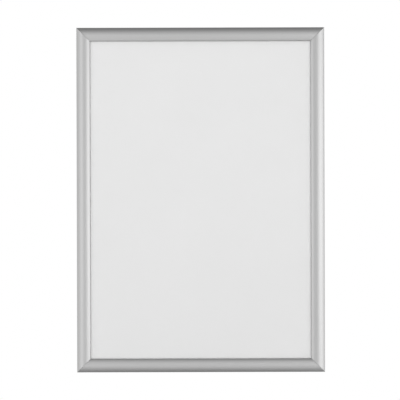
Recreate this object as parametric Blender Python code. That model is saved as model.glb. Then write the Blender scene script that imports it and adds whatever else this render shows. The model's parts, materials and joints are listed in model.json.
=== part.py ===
"""Outdoor display frame for one portrait poster: a wall frame with four snap covers.

Four mitred base rails, joined by corner keys, lie flat on the wall. Their ledge carries a stack of
back panel, poster and clear sheet. A convex cover is hinged on a bead along each rail's outer edge.
U-shaped leaf springs, set between the rail's web and the cover's toe, snap each cover shut or open.

Metres, +Z up. The wall is the plane Y = 0, the front faces -Y, and the origin is the centre of the
frame's back. A section is drawn as (inset, height): how far in from the frame's outer edge, and how
far out from the wall.
"""

import math

import bmesh
import bpy
from mathutils import Matrix, Vector

# Sheets in the frame
sheet_width = 0.420
sheet_height = 0.594
back_panel_thickness = 0.0015
poster_thickness = 0.0003
clear_sheet_thickness = 0.0006
sheet_gap = 0.00015
sheet_side_gap = 0.0003

# Cover profile
face_width = 0.025
lip_overlap = 0.012
crown_share = 0.54
cover_wall = 0.0011
lip_clearance = 0.0002
lip_straight = 0.0002
lip_round = 0.0021
lip_fall = 0.0023
lip_edge_round = 0.0003
cover_mitre_gap = 0.0003

# Hinge of a cover on its rail
bead_radius = 0.0013
bead_clearance = 0.00015
neck_wall = 0.0011
neck_clearance = 0.00025
swing_clearance = 0.0003
opening_angle = math.radians(100)
toe_length = 0.00095
toe_thickness = 0.0011

# Base rail
base_wall = 0.0012
rail_mitre_gap = 0.00005
outer_channel_height = 0.002
seat_rib_reach = 0.0008
seat_rib_height = 0.0008

# Seal in a slot behind the lip
seal_width = 0.0018
seal_gap = 0.00015
seal_round = 0.0003
seal_rib_wall = 0.0008
seal_rib_rise = 0.0006

# Corner keys and their grub screws
key_width = 0.0085
key_thickness = 0.0018
key_clearance = 0.0003
key_arm = 0.040
key_screw_from_arm_end = 0.012
screw_diameter = 0.003
screw_clearance = 0.0002
screw_recess = 0.0004
screw_tip_gap = 0.00015
screw_socket_width = 0.0015
screw_socket_depth = 0.0012

# Leaf springs
spring_length = 0.028
spring_thickness = 0.0003
spring_gap = 0.0002
spring_seat_clearance = 0.0003
spring_from_corner = 0.110
short_side_spring_count = 2
long_side_spring_count = 3

# Wall screw holes through the two long rails
wall_hole_diameter = 0.005
wall_hole_from_corner = 0.075

# How finely arcs are drawn, how near points are welded, and how far a cutter runs past what it cuts
face_arc_steps = 14
inner_arc_steps = 9
ring_steps = 14
small_arc_steps = 4
lip_arc_steps = 8
bead_steps = 20
spring_steps = 12
hole_sides = 20
sharp_angle = math.radians(30)
weld_distance = 0.00001
cut_overrun = 0.001

# Heights from the wall, and insets from the outer edge
hook_inner_radius = bead_radius + bead_clearance
hook_outer_radius = hook_inner_radius + cover_wall
toe_reach = hook_outer_radius + toe_length
shoulder_bottom = base_wall + outer_channel_height
shoulder_top = shoulder_bottom + base_wall
pivot = Vector((hook_outer_radius, shoulder_top + swing_clearance + hook_outer_radius))
ledge_bottom = base_wall + key_thickness + 2 * key_clearance
ledge_top = ledge_bottom + base_wall
back_panel_bottom = ledge_top + sheet_gap
poster_bottom = back_panel_bottom + back_panel_thickness + sheet_gap
clear_sheet_bottom = poster_bottom + poster_thickness + sheet_gap
stack_top = clear_sheet_bottom + clear_sheet_thickness
lip_bottom = stack_top + lip_clearance
lip_centre = Vector((face_width - lip_round, lip_bottom + lip_edge_round + lip_straight))
crown_height = lip_centre.y + lip_round + lip_fall
crown_inset = crown_share * face_width
sheet_edge = face_width - lip_overlap
web_inner = sheet_edge - sheet_side_gap
web_outer = web_inner - base_wall
key_slot_end = web_inner + key_width + 2 * key_clearance
ledge_end = key_slot_end + base_wall
key_middle = (web_inner + key_slot_end) / 2
lip_inner = face_width - cover_wall
seal_slot_end = lip_inner - seal_width - 2 * seal_gap

# The frame's outer size
outer_width = sheet_width + 2 * sheet_edge
outer_height = sheet_height + 2 * sheet_edge

# Angles of the hook about the pivot: it clears the neck when shut and when fully open
neck_angle = math.asin((neck_wall / 2 + neck_clearance) / hook_inner_radius)
hook_start = -math.pi / 2 + neck_angle
hook_end = 3 * math.pi / 2 - neck_angle - opening_angle

# For each side: the way in to the middle, from the outer edge
SIDES = {
    "top": Vector((0, 0, -1)),
    "bottom": Vector((0, 0, 1)),
    "left": Vector((1, 0, 0)),
    "right": Vector((-1, 0, 0)),
}
FORWARD = Vector((0, -1, 0))
LONG_SIDES = ("left", "right")


def direction(angle):
    """The unit vector at an angle in a section."""
    return Vector((math.cos(angle), math.sin(angle)))


def arc(centre, radius, start, end, steps):
    """Points of an arc in a section, from one angle to another, both ends included."""
    return [centre + radius * direction(start + (end - start) * i / steps) for i in range(steps + 1)]


def blending_radius(across, up, small_radius):
    """Radius of an arc that is level at the crown and touches a smaller arc from outside.

    across and up are how far the small arc's centre lies from the crown.
    """
    return (across**2 + up**2 - small_radius**2) / (2 * (up - small_radius))


def new_material(name, colour, roughness, metallic=0.0, transmission=0.0):
    material = bpy.data.materials.new(name)
    material.use_nodes = True
    shader = material.node_tree.nodes["Principled BSDF"]
    shader.inputs["Base Color"].default_value = (*colour, 1)
    shader.inputs["Roughness"].default_value = roughness
    shader.inputs["Metallic"].default_value = metallic
    shader.inputs["Transmission Weight"].default_value = transmission
    material.diffuse_color = (*colour, 1)
    return material


def clear_scene():
    for item in list(bpy.data.objects):
        bpy.data.objects.remove(item)


def new_collection(name):
    collection = bpy.data.collections.new(name)
    bpy.context.scene.collection.children.link(collection)
    return collection


def new_object(name, mesh, material, matrix, parent=None):
    """An object of the frame. The matrix is relative to its parent, where it has one."""
    item = bpy.data.objects.new(name, mesh)
    frame_parts.objects.link(item)
    if not mesh.materials:
        mesh.materials.append(material)
    item.parent = parent
    item.matrix_local = matrix
    return item


def new_empty(name, matrix):
    empty = bpy.data.objects.new(name, None)
    empty.empty_display_size = face_width
    frame_parts.objects.link(empty)
    empty.matrix_world = matrix
    return empty


def evaluated_mesh(item, name):
    """The mesh that an object has after its modifiers or its curve settings."""
    bpy.context.view_layer.update()
    graph = bpy.context.evaluated_depsgraph_get()
    mesh = bpy.data.meshes.new_from_object(item.evaluated_get(graph))
    mesh.name = name
    return mesh


def extruded(name, outlines, length):
    """A mesh of a section, with any holes in it, run out along Z to both sides of its plane."""
    curve = bpy.data.curves.new(name, "CURVE")
    curve.dimensions = "2D"
    curve.fill_mode = "BOTH"
    curve.extrude = length / 2
    for outline in outlines:
        spline = curve.splines.new("POLY")
        spline.points.add(len(outline) - 1)
        for point, place in zip(spline.points, outline):
            point.co = (place[0], place[1], 0, 1)
        spline.use_cyclic_u = True
    carrier = bpy.data.objects.new(name, curve)
    frame_parts.objects.link(carrier)
    mesh = evaluated_mesh(carrier, name)
    bpy.data.objects.remove(carrier)
    weld(mesh)
    return mesh


def weld(mesh):
    """Joins the loose caps of a curve to its walls, and turns all the faces outward."""
    shape = bmesh.new()
    shape.from_mesh(mesh)
    bmesh.ops.remove_doubles(shape, verts=shape.verts, dist=weld_distance)
    bmesh.ops.recalc_face_normals(shape, faces=shape.faces)
    shape.to_mesh(mesh)
    shape.free()


def shade(mesh):
    mesh.shade_smooth()
    mesh.set_sharp_from_angle(angle=sharp_angle)


def mitre(mesh, half_length, reach_of, gap):
    """Cuts both ends at 45 degrees: each point stops short of the corner by its own reach inward.

    gap is what is left open between two mitred ends that meet.
    """
    for vertex in mesh.vertices:
        end = half_length - reach_of(vertex.co) - gap / math.sqrt(2)
        vertex.co.z = math.copysign(end, vertex.co.z)


def fixed_reach(place):
    """How far in from the outer edge a point of a fixed rail is."""
    return place.x


def swept_reach(place):
    """How far in from the outer edge a point of a cover gets, while the cover swings open."""
    arm = place.xy - pivot
    shut_angle = math.atan2(arm.y, arm.x)
    if shut_angle < 0:
        return pivot.x + arm.length
    return pivot.x + arm.length * max(math.cos(shut_angle), math.cos(shut_angle + opening_angle))


def edge_distance(side):
    """From the frame's centre to the outer edge of a side."""
    return (outer_width if side in LONG_SIDES else outer_height) / 2


def half_length(side):
    """From the middle of a side to the frame's corner."""
    return (outer_height if side in LONG_SIDES else outer_width) / 2


def side_matrix(side):
    """Places a section: X runs inward, Y out from the wall and Z along the rail."""
    inward = SIDES[side]
    along = inward.cross(FORWARD)
    matrix = Matrix((inward, FORWARD, along)).transposed().to_4x4()
    matrix.translation = -edge_distance(side) * inward
    return matrix


def cylinder(name, radius, bottom, top, sides=hole_sides):
    """A cylinder whose axis is the section's Y, from one height to another."""
    mesh = bpy.data.meshes.new(name)
    shape = bmesh.new()
    turn = Matrix.Rotation(-math.pi / 2, 4, "X")
    middle = Matrix.Translation((0, (bottom + top) / 2, 0))
    bmesh.ops.create_cone(
        shape,
        cap_ends=True,
        segments=sides,
        radius1=radius,
        radius2=radius,
        depth=top - bottom,
        matrix=middle @ turn,
    )
    shape.to_mesh(mesh)
    shape.free()
    return mesh


def cut(item, cutter_mesh, matrix):
    """Cuts a shape out of an object. The matrix is the cutter's place in the world."""
    cutter = bpy.data.objects.new(f"{item.name}_cutter_{len(item.modifiers) + 1}", cutter_mesh)
    cutters.objects.link(cutter)
    cutter.matrix_world = matrix
    cutter.display_type = "WIRE"
    cutter.hide_render = True
    modifier = item.modifiers.new(cutter.name, "BOOLEAN")
    modifier.operation = "DIFFERENCE"
    modifier.object = cutter


def cover_outline():
    """Section of a cover: hook, convex face, lip, seal slot and toe, drawn clockwise."""
    outer_radius = blending_radius(crown_inset - pivot.x, crown_height - pivot.y, hook_outer_radius)
    lip_radius = blending_radius(lip_centre.x - crown_inset, crown_height - lip_centre.y, lip_round)
    outer_centre = Vector((crown_inset, crown_height - outer_radius))
    inner_centre = Vector((crown_inset, crown_height - lip_radius))
    upright = math.pi / 2

    to_hook = pivot - outer_centre
    to_lip = lip_centre - inner_centre
    hook_touch = math.atan2(to_hook.y, to_hook.x)
    lip_touch = math.atan2(to_lip.y, to_lip.x)

    tip_radius = cover_wall / 2
    tip_centre = pivot + (hook_inner_radius + tip_radius) * direction(hook_end)
    tip = arc(tip_centre, tip_radius, hook_end + math.pi, hook_end, small_arc_steps)
    hook_back = arc(pivot, hook_outer_radius, hook_end, hook_touch, small_arc_steps)
    face = arc(outer_centre, outer_radius, hook_touch, upright, face_arc_steps)
    face += arc(inner_centre, lip_radius, upright, lip_touch, face_arc_steps)[1:]
    lip = arc(lip_centre, lip_round, lip_touch, 0, lip_arc_steps)
    edge_centre = Vector((face_width - lip_edge_round, lip_bottom + lip_edge_round))
    lip_edge = arc(edge_centre, lip_edge_round, 0, -upright, small_arc_steps)
    lip_foot = [Vector((lip_inner, lip_bottom))]

    underside_radius = lip_radius - cover_wall

    def underside_angle(inset):
        return math.acos((inset - crown_inset) / underside_radius)

    slot_top = arc(
        inner_centre,
        underside_radius,
        underside_angle(lip_inner),
        underside_angle(seal_slot_end),
        small_arc_steps,
    )
    seal_rib_end = seal_slot_end - seal_rib_wall
    seal_rib_bottom = lip_bottom + seal_rib_rise
    seal_rib = [Vector((seal_slot_end, seal_rib_bottom)), Vector((seal_rib_end, seal_rib_bottom))]
    start = underside_angle(seal_rib_end)
    underside = arc(inner_centre, underside_radius, start, upright, inner_arc_steps)

    # Where the underside runs into the back of the hook
    between = outer_radius - hook_outer_radius
    reach = outer_radius - cover_wall
    turn = math.acos((between**2 + hook_outer_radius**2 - reach**2) / (2 * between * hook_outer_radius))
    hook_meet = math.atan2(-to_hook.y, -to_hook.x) + turn
    to_meet = pivot + hook_outer_radius * direction(hook_meet) - outer_centre
    meet = math.atan2(to_meet.y, to_meet.x)
    underside += arc(outer_centre, reach, upright, meet, inner_arc_steps)[1:]

    toe_root = hook_start + math.asin(toe_thickness / hook_outer_radius)
    hook_front = arc(pivot, hook_outer_radius, hook_meet, toe_root, inner_arc_steps)[1:]
    toe_from, toe_to = hook_start + upright, hook_start - upright
    toe_end = arc(toe_centre(), toe_thickness / 2, toe_from, toe_to, small_arc_steps)
    bore = arc(pivot, hook_inner_radius, hook_start, hook_end, ring_steps)[:-1]
    parts = (tip, hook_back[1:], face[1:], lip[1:], lip_edge, lip_foot, slot_top, seal_rib)
    return [place for part in parts for place in part] + underside + hook_front + toe_end + bore


def toe_centre():
    """Middle of the round end of a shut cover's toe."""
    out = direction(hook_start)
    aside = direction(hook_start + math.pi / 2)
    return pivot + (toe_reach - toe_thickness / 2) * out + toe_thickness / 2 * aside


def seal_outline():
    """Section of the seal that fills the slot behind the lip, flat on the side of the clear sheet."""
    lip_radius = blending_radius(lip_centre.x - crown_inset, crown_height - lip_centre.y, lip_round)
    centre = Vector((crown_inset, crown_height - lip_radius))
    top_radius = lip_radius - cover_wall - seal_gap
    start = math.acos((seal_slot_end + seal_gap - crown_inset) / top_radius)
    end = math.acos((lip_inner - seal_gap - crown_inset) / top_radius)
    bottom = stack_top + sheet_gap + seal_round
    far_corner = Vector((lip_inner - seal_gap - seal_round, bottom))
    near_corner = Vector((seal_slot_end + seal_gap + seal_round, bottom))
    top = arc(centre, top_radius, start, end, small_arc_steps)
    far_round = arc(far_corner, seal_round, 0, -math.pi / 2, small_arc_steps)
    near_round = arc(near_corner, seal_round, -math.pi / 2, -math.pi, small_arc_steps)
    return top + far_round + near_round


def rail_outline():
    """Section of a base rail: back flange, outer wall, neck and bead, spring seat, web and ledge."""
    neck_side = math.asin(neck_wall / 2 / bead_radius)
    down = -math.pi / 2
    bead = arc(pivot, bead_radius, down - neck_side, down + neck_side - 2 * math.pi, bead_steps)
    seat_rib_bottom = spring_end_height() + spring_seat_clearance
    seat_rib_top = seat_rib_bottom + seat_rib_height
    seat_rib_end = web_outer - seat_rib_reach
    neck_inner = pivot.x + neck_wall / 2
    return [
        (0, 0),
        (0, shoulder_top),
        (pivot.x - neck_wall / 2, shoulder_top),
        *bead,
        (neck_inner, shoulder_bottom),
        (base_wall, shoulder_bottom),
        (base_wall, base_wall),
        (web_outer, base_wall),
        (web_outer, seat_rib_bottom),
        (seat_rib_end, seat_rib_bottom),
        (seat_rib_end, seat_rib_top),
        (web_outer, seat_rib_top),
        (web_outer, stack_top),
        (web_inner, stack_top),
        (web_inner, ledge_top),
        (ledge_end, ledge_top),
        (ledge_end, 0),
    ]


def key_slot_outline():
    """The hollow under the ledge, which the corner keys slide into."""
    return [
        (web_inner, base_wall),
        (web_inner, ledge_bottom),
        (key_slot_end, ledge_bottom),
        (key_slot_end, base_wall),
    ]


def spring_end_height():
    """Both ends of a spring's section are as far from the wall as the end of the toe."""
    return toe_centre().y


def spring_outline():
    """Section of a leaf spring: a strip bent to a U, between a cover's toe and the rail's web."""
    toe_side = toe_centre().x + toe_thickness / 2 + spring_gap
    web_side = web_outer - spring_gap
    centre = Vector(((toe_side + web_side) / 2, spring_end_height()))
    half_width = (web_side - toe_side) / 2
    depth = spring_end_height() - base_wall - spring_seat_clearance

    def half_ellipse(inset, start, end):
        size = Vector((half_width - inset, depth - inset))
        turns = arc(Vector((0, 0)), 1, start, end, spring_steps)
        return [centre + turn * size for turn in turns]

    return half_ellipse(0, math.pi, 2 * math.pi) + half_ellipse(spring_thickness, 2 * math.pi, math.pi)


def even_places(first, last, count):
    """Places spread evenly from first to last."""
    if count == 1:
        return [(first + last) / 2]
    return [first + (last - first) * i / (count - 1) for i in range(count)]


def make_base_rail(side):
    mesh = extruded(f"base_rail_{side}", [rail_outline(), key_slot_outline()], 2 * half_length(side))
    mitre(mesh, half_length(side), fixed_reach, rail_mitre_gap)
    shade(mesh)
    rail = new_object(mesh.name, mesh, aluminium, side_matrix(side))
    access_radius = screw_diameter / 2 + screw_clearance
    access = cylinder("access_hole", access_radius, -cut_overrun, base_wall + cut_overrun)
    for place in key_screw_places(side):
        cut(rail, access, side_matrix(side) @ Matrix.Translation((key_middle, 0, place)))
    if side in LONG_SIDES:
        hole = cylinder("wall_hole", wall_hole_diameter / 2, -cut_overrun, base_wall + cut_overrun)
        middle = (base_wall + web_outer) / 2
        end = half_length(side) - wall_hole_from_corner
        for place in (-end, end):
            cut(rail, hole, side_matrix(side) @ Matrix.Translation((middle, 0, place)))


def key_screw_places(side):
    """Places along a rail of the screws in the two keys that meet it."""
    end = half_length(side) - (web_inner + key_clearance + key_arm - key_screw_from_arm_end)
    return (-end, end)


def make_cover(side):
    """A snap cover and its seal, both under an empty on the hinge's axis."""
    to_pivot = Matrix.Translation((pivot.x, pivot.y, 0))
    hinge = new_empty(f"hinge_{side}", side_matrix(side) @ to_pivot)
    cover = extruded(f"snap_cover_{side}", [cover_outline()], 2 * half_length(side))
    mitre(cover, half_length(side), swept_reach, cover_mitre_gap)
    shade(cover)
    new_object(cover.name, cover, aluminium, to_pivot.inverted(), hinge)
    seal = extruded(f"cover_seal_{side}", [seal_outline()], 2 * half_length(side))
    mitre(seal, half_length(side), swept_reach, cover_mitre_gap)
    shade(seal)
    new_object(seal.name, seal, rubber, to_pivot.inverted(), hinge)


def make_springs(side):
    mesh = extruded(f"leaf_spring_{side}", [spring_outline()], spring_length)
    shade(mesh)
    end = half_length(side) - spring_from_corner
    count = long_side_spring_count if side in LONG_SIDES else short_side_spring_count
    for number, place in enumerate(even_places(-end, end, count), 1):
        matrix = side_matrix(side) @ Matrix.Translation((0, 0, place))
        new_object(f"leaf_spring_{side}_{number}", mesh, spring_steel, matrix)


def make_corner_key(upright_side, level_side):
    """An L-shaped key in two rails, with a grub screw in each arm that clamps it."""
    corner = side_matrix(level_side).translation + side_matrix(upright_side).translation
    along_level = SIDES[upright_side]
    along_upright = SIDES[level_side]
    near = web_inner + key_clearance
    far = near + key_width
    end = near + key_arm
    outline = [(near, near), (end, near), (end, far), (far, far), (far, end), (near, end)]
    name = f"corner_key_{level_side}_{upright_side}"
    mesh = extruded(name, [outline], key_thickness)
    axes = Matrix((along_level, along_upright, along_level.cross(along_upright))).transposed().to_4x4()
    middle_height = base_wall + key_clearance + key_thickness / 2
    axes.translation = corner + FORWARD * middle_height
    key = new_object(name, mesh, zinc, axes)
    hole_radius = screw_diameter / 2 + screw_clearance
    hole = cylinder("key_hole", hole_radius, base_wall - cut_overrun, ledge_bottom + cut_overrun)
    sides = (level_side, upright_side)
    for number, side in enumerate(sides, 1):
        other = sides[2 - number]
        place = max(key_screw_places(side))
        along = side_matrix(side).to_3x3().col[2]
        turned = place if along.dot(SIDES[other]) < 0 else -place
        matrix = side_matrix(side) @ Matrix.Translation((key_middle, 0, turned))
        cut(key, hole, matrix)
        new_object(f"key_screw_{level_side}_{upright_side}_{number}", screw_mesh, screw_steel, matrix)


def make_screw_mesh():
    """A grub screw with a hexagon socket, its tip just under the rail's ledge."""
    body = cylinder("key_screw", screw_diameter / 2, screw_recess, ledge_bottom - screw_tip_gap)
    radius = screw_socket_width / math.sqrt(3)
    socket = cylinder("socket", radius, -cut_overrun, screw_recess + screw_socket_depth, sides=6)
    blank = bpy.data.objects.new("screw_blank", body)
    cutters.objects.link(blank)
    cut(blank, socket, Matrix.Identity(4))
    mesh = evaluated_mesh(blank, "key_screw")
    for item in list(cutters.objects):
        bpy.data.objects.remove(item)
    shade(mesh)
    return mesh


def make_sheet(name, bottom, thickness, material):
    """A flat sheet in the frame, from its distance to the wall."""
    mesh = bpy.data.meshes.new(name)
    shape = bmesh.new()
    bmesh.ops.create_cube(shape, size=1, matrix=Matrix.Diagonal((sheet_width, thickness, sheet_height, 1)))
    shape.to_mesh(mesh)
    shape.free()
    new_object(name, mesh, material, Matrix.Translation(FORWARD * (bottom + thickness / 2)))


clear_scene()
frame_parts = new_collection("outdoor_display_frame")
cutters = new_collection("cutters")

aluminium = new_material("anodised_aluminium", (0.50, 0.50, 0.50), 0.38, metallic=1.0)
rubber = new_material("seal_rubber", (0.03, 0.03, 0.03), 0.8)
spring_steel = new_material("spring_steel", (0.35, 0.36, 0.38), 0.3, metallic=1.0)
zinc = new_material("zinc_key", (0.55, 0.56, 0.57), 0.45, metallic=1.0)
screw_steel = new_material("screw_steel", (0.12, 0.12, 0.13), 0.4, metallic=1.0)
board = new_material("back_board", (0.75, 0.75, 0.74), 0.6)
paper = new_material("blank_paper", (0.86, 0.86, 0.86), 0.8)
clear_plastic = new_material("clear_plastic", (0.95, 0.95, 0.95), 0.25, transmission=0.9)

screw_mesh = make_screw_mesh()
for side_name in SIDES:
    make_base_rail(side_name)
    make_cover(side_name)
    make_springs(side_name)
for level_name in ("top", "bottom"):
    for upright_name in LONG_SIDES:
        make_corner_key(upright_name, level_name)
make_sheet("back_panel", back_panel_bottom, back_panel_thickness, board)
make_sheet("poster_sheet", poster_bottom, poster_thickness, paper)
make_sheet("clear_cover_sheet", clear_sheet_bottom, clear_sheet_thickness, clear_plastic)
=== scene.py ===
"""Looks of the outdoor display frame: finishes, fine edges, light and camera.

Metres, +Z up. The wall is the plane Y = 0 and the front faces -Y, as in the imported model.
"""

import json
import math

import bmesh
import bpy
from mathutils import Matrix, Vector

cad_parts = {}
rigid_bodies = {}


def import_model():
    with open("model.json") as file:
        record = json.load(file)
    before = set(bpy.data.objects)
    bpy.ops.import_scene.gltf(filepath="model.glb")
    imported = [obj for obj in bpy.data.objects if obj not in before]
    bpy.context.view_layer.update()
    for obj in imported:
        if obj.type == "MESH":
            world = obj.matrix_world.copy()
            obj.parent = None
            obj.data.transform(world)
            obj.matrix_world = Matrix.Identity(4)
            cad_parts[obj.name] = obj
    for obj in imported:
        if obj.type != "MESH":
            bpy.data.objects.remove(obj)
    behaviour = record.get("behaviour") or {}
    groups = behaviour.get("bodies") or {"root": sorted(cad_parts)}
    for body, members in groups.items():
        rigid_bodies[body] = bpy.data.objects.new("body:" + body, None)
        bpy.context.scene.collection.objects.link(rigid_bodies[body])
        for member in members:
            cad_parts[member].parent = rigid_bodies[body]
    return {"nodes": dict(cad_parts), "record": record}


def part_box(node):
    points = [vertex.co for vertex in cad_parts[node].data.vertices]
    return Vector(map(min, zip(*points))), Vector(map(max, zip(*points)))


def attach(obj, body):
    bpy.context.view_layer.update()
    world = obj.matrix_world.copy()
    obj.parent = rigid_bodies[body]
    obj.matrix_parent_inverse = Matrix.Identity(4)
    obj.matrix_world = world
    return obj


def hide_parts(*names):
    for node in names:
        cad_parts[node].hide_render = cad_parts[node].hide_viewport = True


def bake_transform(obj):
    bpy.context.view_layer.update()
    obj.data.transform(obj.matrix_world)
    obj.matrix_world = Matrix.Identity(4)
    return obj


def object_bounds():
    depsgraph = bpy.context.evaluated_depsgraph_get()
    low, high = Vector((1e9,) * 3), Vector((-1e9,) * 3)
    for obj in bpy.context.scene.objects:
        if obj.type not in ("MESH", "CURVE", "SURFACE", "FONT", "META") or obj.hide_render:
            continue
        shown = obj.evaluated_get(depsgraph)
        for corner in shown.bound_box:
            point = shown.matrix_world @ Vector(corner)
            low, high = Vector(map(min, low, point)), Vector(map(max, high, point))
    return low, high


for item in list(bpy.data.objects):
    bpy.data.objects.remove(item)
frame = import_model()
cad_low, cad_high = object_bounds()

# The photograph, 400 pixels wide: where the frame stands in it
picture_pixels = 400
frame_left_pixel = 76.66
frame_right_pixel = 324.69
frame_top_pixel = 27.35
frame_bottom_pixel = 372.29
frame_turn = math.radians(0.15)

# Camera, with the tilt that makes its view level
camera_distance = 2.6
sensor_width_mm = 36
level_tilt = math.radians(90)

# Floor: grey painted shade under the frame up to its shade radius, paling outward; to the camera,
# white from its white radius
floor_drop = 0.6
floor_radius = 3.0
floor_sides = 96
painted_floor_shade_radius = 0.35
floor_white_radius = 1.4
# Painted shade: the floor's darker grey right under the frame
painted_floor_shade_tone = 0.42
floor_edge_tone = 0.88
floor_roughness = 0.9

# Room: white walls, and a grey ceiling that comes in between these heights of a ray's direction
ceiling_start = 0.15
ceiling_end = 0.9
ceiling_tone = 0.29

# Strengths of the background, at which white shows as white, and of the plain fill light
background_level = 1.0
fill_level = 0.81

# Area lamps that face the frame: place, width and height, and power in watts
SOFTBOXES = {
    "softbox_left": ((-0.62, -0.85, 0), (0.4, 1.2), 0.85),
    "softbox_right": ((1.85, -2.36, -0.1), (2.2, 2.0), 15.3),
}

# How points are welded, flat faces made whole and edges rounded
weld_distance = 0.000002
flat_angle = math.radians(0.4)
edge_angle = math.radians(28)
edge_segments = 2

# Width of the rounded edges on the pieces of each finish
EDGE_ROUNDS = {
    "cover_aluminium": 0.00012,
    "rail_aluminium": 0.00012,
    "seal_rubber": 0.00008,
    "spring_steel": 0.00005,
    "key_steel": 0.00015,
    "screw_steel": 0.00006,
    "back_board": 0.0002,
    "blank_paper": 0.00004,
    "clear_plastic": 0.00008,
}

# How slowly a die line changes along an extrusion, as a share of how fast it changes across
die_line_share = 0.008

# Numbers of the node sockets that share their name with others
first_value, second_value = 0, 1
first_shader, second_shader = 1, 2
blend_share, first_colour, second_colour = 0, 6, 7
blended_colour = 2


def grey(tone):
    """An opaque grey."""
    return (tone, tone, tone, 1)


class Nodes:
    """Builds a node tree, one node at a time."""

    def __init__(self, tree):
        self.tree = tree

    def join(self, value, socket):
        """Links an input to an output, or sets it to a value."""
        if isinstance(value, bpy.types.NodeSocket):
            self.tree.links.new(value, socket)
        else:
            socket.default_value = value

    def fill(self, node, **inputs):
        """Links or sets the inputs of a node by name."""
        for name, value in inputs.items():
            self.join(value, node.inputs[name.replace("_", " ")])

    def add(self, kind, settings=None, **inputs):
        """A node of a kind, with its settings and its inputs."""
        node = self.tree.nodes.new(kind)
        for name, value in (settings or {}).items():
            setattr(node, name, value)
        self.fill(node, **inputs)
        return node

    def noise(self, coordinates, scale, detail, stretch=(1, 1, 1)):
        """Noise in the object's own space, so many spots to the metre, stretched by a vector."""
        placed = self.add("ShaderNodeMapping", Vector=coordinates, Scale=stretch)
        pattern = self.add(
            "ShaderNodeTexNoise", Vector=placed.outputs["Vector"], Scale=scale, Detail=detail
        )
        return pattern.outputs["Fac"]

    def spread(self, value, low, high):
        """A value from 0 to 1, spread from low to high."""
        node = self.add("ShaderNodeMapRange", Value=value, To_Min=low, To_Max=high)
        return node.outputs["Result"]

    def rise(self, value, start, end):
        """0 up to a start, 1 from an end on, and smooth between them."""
        smooth = {"interpolation_type": "SMOOTHSTEP"}
        node = self.add("ShaderNodeMapRange", smooth, Value=value, From_Min=start, From_Max=end)
        return node.outputs["Result"]

    def combine(self, operation, first, second):
        """One number from two."""
        node = self.add("ShaderNodeMath", {"operation": operation})
        self.join(first, node.inputs[first_value])
        self.join(second, node.inputs[second_value])
        return node.outputs["Value"]

    def blend(self, share, first, second):
        """A colour between two."""
        node = self.add("ShaderNodeMix", {"data_type": "RGBA"})
        self.join(share, node.inputs[blend_share])
        self.join(first, node.inputs[first_colour])
        self.join(second, node.inputs[second_colour])
        return node.outputs[blended_colour]

    def mix(self, share, first, second):
        """A shader between two."""
        node = self.add("ShaderNodeMixShader", Fac=share)
        self.join(first, node.inputs[first_shader])
        self.join(second, node.inputs[second_shader])
        return node.outputs["Shader"]

    def bump(self, height, strength, depth, under=None):
        """Relief from a pattern of heights, on a coarser relief if there is one under it."""
        node = self.add("ShaderNodeBump", Height=height, Strength=strength, Distance=depth)
        if under is not None:
            self.join(under, node.inputs["Normal"])
        return node.outputs["Normal"]


def new_material(name):
    """A material with its nodes, its shader and the coordinates of the object's own space."""
    material = bpy.data.materials.new(name)
    material.use_nodes = True
    nodes = Nodes(material.node_tree)
    shader = material.node_tree.nodes["Principled BSDF"]
    coordinates = nodes.add("ShaderNodeTexCoord").outputs["Object"]
    return material, nodes, shader, coordinates


def aluminium(name, along, tones, roughnesses):
    """Satin anodised extrusion: long, fine die lines on a finely etched skin."""
    dark, light = tones
    material, nodes, shader, coordinates = new_material(name)
    lengthwise = (die_line_share, 1, 1) if along == "X" else (1, 1, die_line_share)
    lines = nodes.noise(coordinates, scale=2200, detail=4, stretch=lengthwise)
    streaks = nodes.noise(coordinates, scale=420, detail=3, stretch=lengthwise)
    etch = nodes.noise(coordinates, scale=5200, detail=2)
    grooves = nodes.bump(lines, strength=0.35, depth=0.00003)
    nodes.fill(
        shader,
        Base_Color=nodes.blend(streaks, grey(dark), grey(light)),
        Metallic=1,
        Roughness=nodes.spread(lines, *roughnesses),
        Normal=nodes.bump(etch, strength=0.3, depth=0.000006, under=grooves),
    )
    return material


def rolled_steel(name, colours, roughnesses):
    """Strip or plated steel with a soft mottle."""
    material, nodes, shader, coordinates = new_material(name)
    mottle = nodes.noise(coordinates, scale=420, detail=4)
    nodes.fill(
        shader,
        Base_Color=nodes.blend(mottle, *colours),
        Metallic=1,
        Roughness=nodes.spread(mottle, *roughnesses),
        Normal=nodes.bump(mottle, strength=0.2, depth=0.00002),
    )
    return material


def rubber():
    """Black EPDM with a dull, slightly dusty skin."""
    clean, dusty = grey(0.018), grey(0.035)
    material, nodes, shader, coordinates = new_material("seal_rubber_finish")
    dust = nodes.noise(coordinates, scale=900, detail=5)
    nodes.fill(
        shader,
        Base_Color=nodes.blend(dust, clean, dusty),
        Roughness=nodes.spread(dust, low=0.65, high=0.85),
        Normal=nodes.bump(dust, strength=0.4, depth=0.00003),
    )
    return material


def board():
    """Off-white foamed plastic board with an orange-peel skin."""
    dull, bright = (0.70, 0.70, 0.69, 1), (0.77, 0.77, 0.76, 1)
    material, nodes, shader, coordinates = new_material("back_board_finish")
    peel = nodes.noise(coordinates, scale=650, detail=2)
    clouds = nodes.noise(coordinates, scale=14, detail=3)
    nodes.fill(
        shader,
        Base_Color=nodes.blend(clouds, dull, bright),
        Roughness=nodes.spread(peel, low=0.5, high=0.65),
        Normal=nodes.bump(peel, strength=0.35, depth=0.00005),
    )
    return material


def paper():
    """Blank matt poster paper: faint clouds in the pulp and a fine tooth."""
    dull, bright = grey(0.855), grey(0.885)
    material, nodes, shader, coordinates = new_material("blank_paper_finish")
    tooth = nodes.noise(coordinates, scale=2600, detail=4)
    clouds = nodes.noise(coordinates, scale=9, detail=5)
    nodes.fill(
        shader,
        Base_Color=nodes.blend(clouds, dull, bright),
        Roughness=nodes.spread(tooth, low=0.82, high=0.95),
        Normal=nodes.bump(tooth, strength=0.3, depth=0.00002),
    )
    return material


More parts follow.
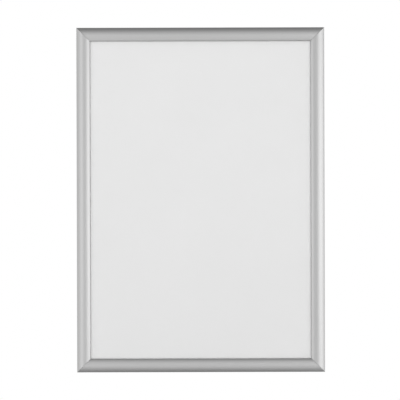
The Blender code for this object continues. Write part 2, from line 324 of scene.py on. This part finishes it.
def clear_film():
    """Clear anti-glare sheet: a finely frosted face with a faint wave in it."""
    material, nodes, shader, coordinates = new_material("clear_plastic_finish")
    frost = nodes.noise(coordinates, scale=3800, detail=2)
    wave = nodes.noise(coordinates, scale=5, detail=1, stretch=(1, 1, 0.5))
    waves = nodes.bump(wave, strength=0.5, depth=0.0004)
    nodes.fill(
        shader,
        Base_Color=grey(0.95),
        Alpha=0.08,
        IOR=1.49,
        Roughness=nodes.spread(frost, low=0.28, high=0.38),
        Normal=nodes.bump(frost, strength=0.25, depth=0.00001, under=waves),
    )
    return material


def make_finishes():
    """The finish for each material slot. The extrusions have one for each direction."""
    cover = {"tones": (0.46, 0.52), "roughnesses": (0.32, 0.42)}
    rail = {"tones": (0.41, 0.47), "roughnesses": (0.36, 0.46)}
    return {
        "cover_aluminium_X": aluminium("cover_finish_across", "X", **cover),
        "cover_aluminium_Z": aluminium("cover_finish_upright", "Z", **cover),
        "rail_aluminium_X": aluminium("rail_finish_across", "X", **rail),
        "rail_aluminium_Z": aluminium("rail_finish_upright", "Z", **rail),
        "spring_steel": rolled_steel(
            "spring_steel_finish",
            colours=((0.30, 0.32, 0.36, 1), (0.42, 0.43, 0.45, 1)),
            roughnesses=(0.24, 0.36),
        ),
        "key_steel": rolled_steel(
            "key_steel_finish",
            colours=((0.50, 0.52, 0.54, 1), (0.64, 0.65, 0.66, 1)),
            roughnesses=(0.30, 0.45),
        ),
        "screw_steel": rolled_steel(
            "screw_steel_finish",
            colours=((0.05, 0.05, 0.055, 1), (0.10, 0.10, 0.105, 1)),
            roughnesses=(0.38, 0.50),
        ),
        "seal_rubber": rubber(),
        "back_board": board(),
        "blank_paper": paper(),
        "clear_plastic": clear_film(),
    }


def finish_for(finishes, slot, node):
    """A slot's finish, and for an extrusion the one whose lines run along the piece."""
    if slot in finishes:
        return finishes[slot]
    low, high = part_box(node)
    size = high - low
    return finishes[f"{slot}_X" if size.x > size.z else f"{slot}_Z"]


def add_object(name, data):
    """A new object in the scene."""
    item = bpy.data.objects.new(name, data)
    bpy.context.scene.collection.objects.link(item)
    return item


def refined_mesh(node, name):
    """A CAD node's shape with its points welded and its flat faces whole."""
    source = frame["nodes"][node].data
    places = [vertex.co for vertex in source.vertices]
    faces = [tuple(polygon.vertices) for polygon in source.polygons]
    mesh = bpy.data.meshes.new(name)
    mesh.from_pydata(places, [], faces)
    shape = bmesh.new()
    shape.from_mesh(mesh)
    bmesh.ops.remove_doubles(shape, verts=shape.verts, dist=weld_distance)
    bmesh.ops.dissolve_limit(
        shape, angle_limit=flat_angle, verts=shape.verts, edges=shape.edges
    )
    bmesh.ops.recalc_face_normals(shape, faces=shape.faces)
    shape.to_mesh(mesh)
    shape.free()
    mesh.shade_smooth()
    return mesh


def round_edges(piece, width):
    """Rounds a piece's sharp edges."""
    bevel = piece.modifiers.new("edges", "BEVEL")
    bevel.width = width
    bevel.segments = edge_segments
    bevel.limit_method = "ANGLE"
    bevel.angle_limit = edge_angle
    bevel.harden_normals = True
    bevel.use_clamp_overlap = True


def body_of(node):
    """The body that carries a node."""
    for body, nodes in frame["record"]["behaviour"]["bodies"].items():
        if node in nodes:
            return body


def spring_side(node):
    """The side that a leaf spring belongs to, or None."""
    words = node.split("_")
    return words[2] if words[0] == "leaf" else None


def flex(piece):
    """Bakes a spring's placement into its mesh, leaving it on no body."""
    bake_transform(piece)


def dress(node, finishes):
    """Replaces a CAD node with its refined copy, in its finish."""
    slot = frame["nodes"][node].material_slots[0].material.name
    name = f"{node}_piece"
    piece = add_object(name, refined_mesh(node, name))
    piece.data.materials.append(finish_for(finishes, slot, node))
    round_edges(piece, EDGE_ROUNDS[slot])
    side = spring_side(node)
    if side:
        flex(piece)
    else:
        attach(piece, body_of(node))
    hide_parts(node)


def make_camera():
    """A long lens square to the front, placed and turned as the photograph shows the frame."""
    size = cad_high - cad_low
    metres_per_pixel = size.x / (frame_right_pixel - frame_left_pixel)
    centre = (cad_low + cad_high) / 2
    off_right = (frame_left_pixel + frame_right_pixel - picture_pixels) / 2 * metres_per_pixel
    off_down = (frame_top_pixel + frame_bottom_pixel - picture_pixels) / 2 * metres_per_pixel
    data = bpy.data.cameras.new("camera")
    data.sensor_width = sensor_width_mm
    data.lens = sensor_width_mm * camera_distance / (picture_pixels * metres_per_pixel)
    camera = add_object("camera", data)
    camera.location = (centre.x - off_right, centre.y - camera_distance, centre.z + off_down)
    camera.rotation_euler = (level_tilt, frame_turn, 0)
    bpy.context.scene.camera = camera


def seen_directly(nodes):
    """1 for rays from the camera, from gloss and through glass, which all show the background."""
    path = nodes.add("ShaderNodeLightPath")
    seen = path.outputs["Is Camera Ray"]
    for name in ("Is Glossy Ray", "Is Transmission Ray"):
        seen = nodes.combine("MAXIMUM", seen, path.outputs[name])
    return seen


def make_world():
    """White walls all round under a grey ceiling, and a plain fill light."""
    world = bpy.data.worlds.new("studio")
    bpy.context.scene.world = world
    world.use_nodes = True
    world.node_tree.nodes.clear()
    nodes = Nodes(world.node_tree)
    way = nodes.add("ShaderNodeTexCoord").outputs["Generated"]
    height = nodes.add("ShaderNodeSeparateXYZ", Vector=way).outputs["Z"]
    ceiling = nodes.rise(height, ceiling_start, ceiling_end)
    tone = nodes.blend(ceiling, grey(1), grey(ceiling_tone))
    room = nodes.add("ShaderNodeBackground", Color=tone, Strength=background_level)
    fill = nodes.add("ShaderNodeBackground", Color=grey(1), Strength=fill_level)
    light = nodes.mix(
        seen_directly(nodes), fill.outputs["Background"], room.outputs["Background"]
    )
    nodes.add("ShaderNodeOutputWorld", Surface=light)


def floor_finish():
    """Matt grey painted under the frame as shade, turning paler away from it and, to the camera,
    white at its edge.
    """
    material, nodes, shader, coordinates = new_material("floor_with_painted_shade")
    distance = nodes.add("ShaderNodeVectorMath", {"operation": "LENGTH"}, Vector=coordinates)
    whiteness = nodes.rise(distance.outputs["Value"], painted_floor_shade_radius, floor_white_radius)
    nodes.fill(
        shader,
        # Painted shade: darker grey near the frame, paling outward
        Base_Color=nodes.blend(whiteness, grey(painted_floor_shade_tone), grey(floor_edge_tone)),
        Roughness=floor_roughness,
        Specular_IOR_Level=0,
    )
    white = nodes.add("ShaderNodeEmission", Color=grey(1), Strength=background_level)
    shown_white = nodes.combine("MULTIPLY", whiteness, seen_directly(nodes))
    surface = nodes.mix(shown_white, shader.outputs["BSDF"], white.outputs["Emission"])
    nodes.fill(material.node_tree.nodes["Material Output"], Surface=surface)
    return material


def make_floor():
    """A disc under the frame with painted shade beneath it, which also keeps its cast shadow and
    runs out into the white walls.
    """
    mesh = bpy.data.meshes.new("floor")
    shape = bmesh.new()
    bmesh.ops.create_circle(shape, cap_ends=True, segments=floor_sides, radius=floor_radius)
    shape.to_mesh(mesh)
    shape.free()
    mesh.materials.append(floor_finish())
    floor = add_object("floor", mesh)
    floor.location = (0, 0, cad_low.z - floor_drop)


def make_softbox(name, place, size, watts):
    """An area lamp that faces the middle of the frame, and that the camera doesn't see."""
    data = bpy.data.lights.new(name, "AREA")
    data.shape = "RECTANGLE"
    data.size, data.size_y = size
    data.energy = watts
    lamp = add_object(name, data)
    lamp.location = place
    lamp.rotation_euler = Vector(place).to_track_quat("Z", "Y").to_euler()
    lamp.visible_camera = False


finishes = make_finishes()
for node in sorted(frame["nodes"]):
    dress(node, finishes)
make_floor()
make_world()
for name, (place, size, watts) in SOFTBOXES.items():
    make_softbox(name, place, size, watts)
make_camera()
bpy.context.scene.view_settings.view_transform = "Standard"
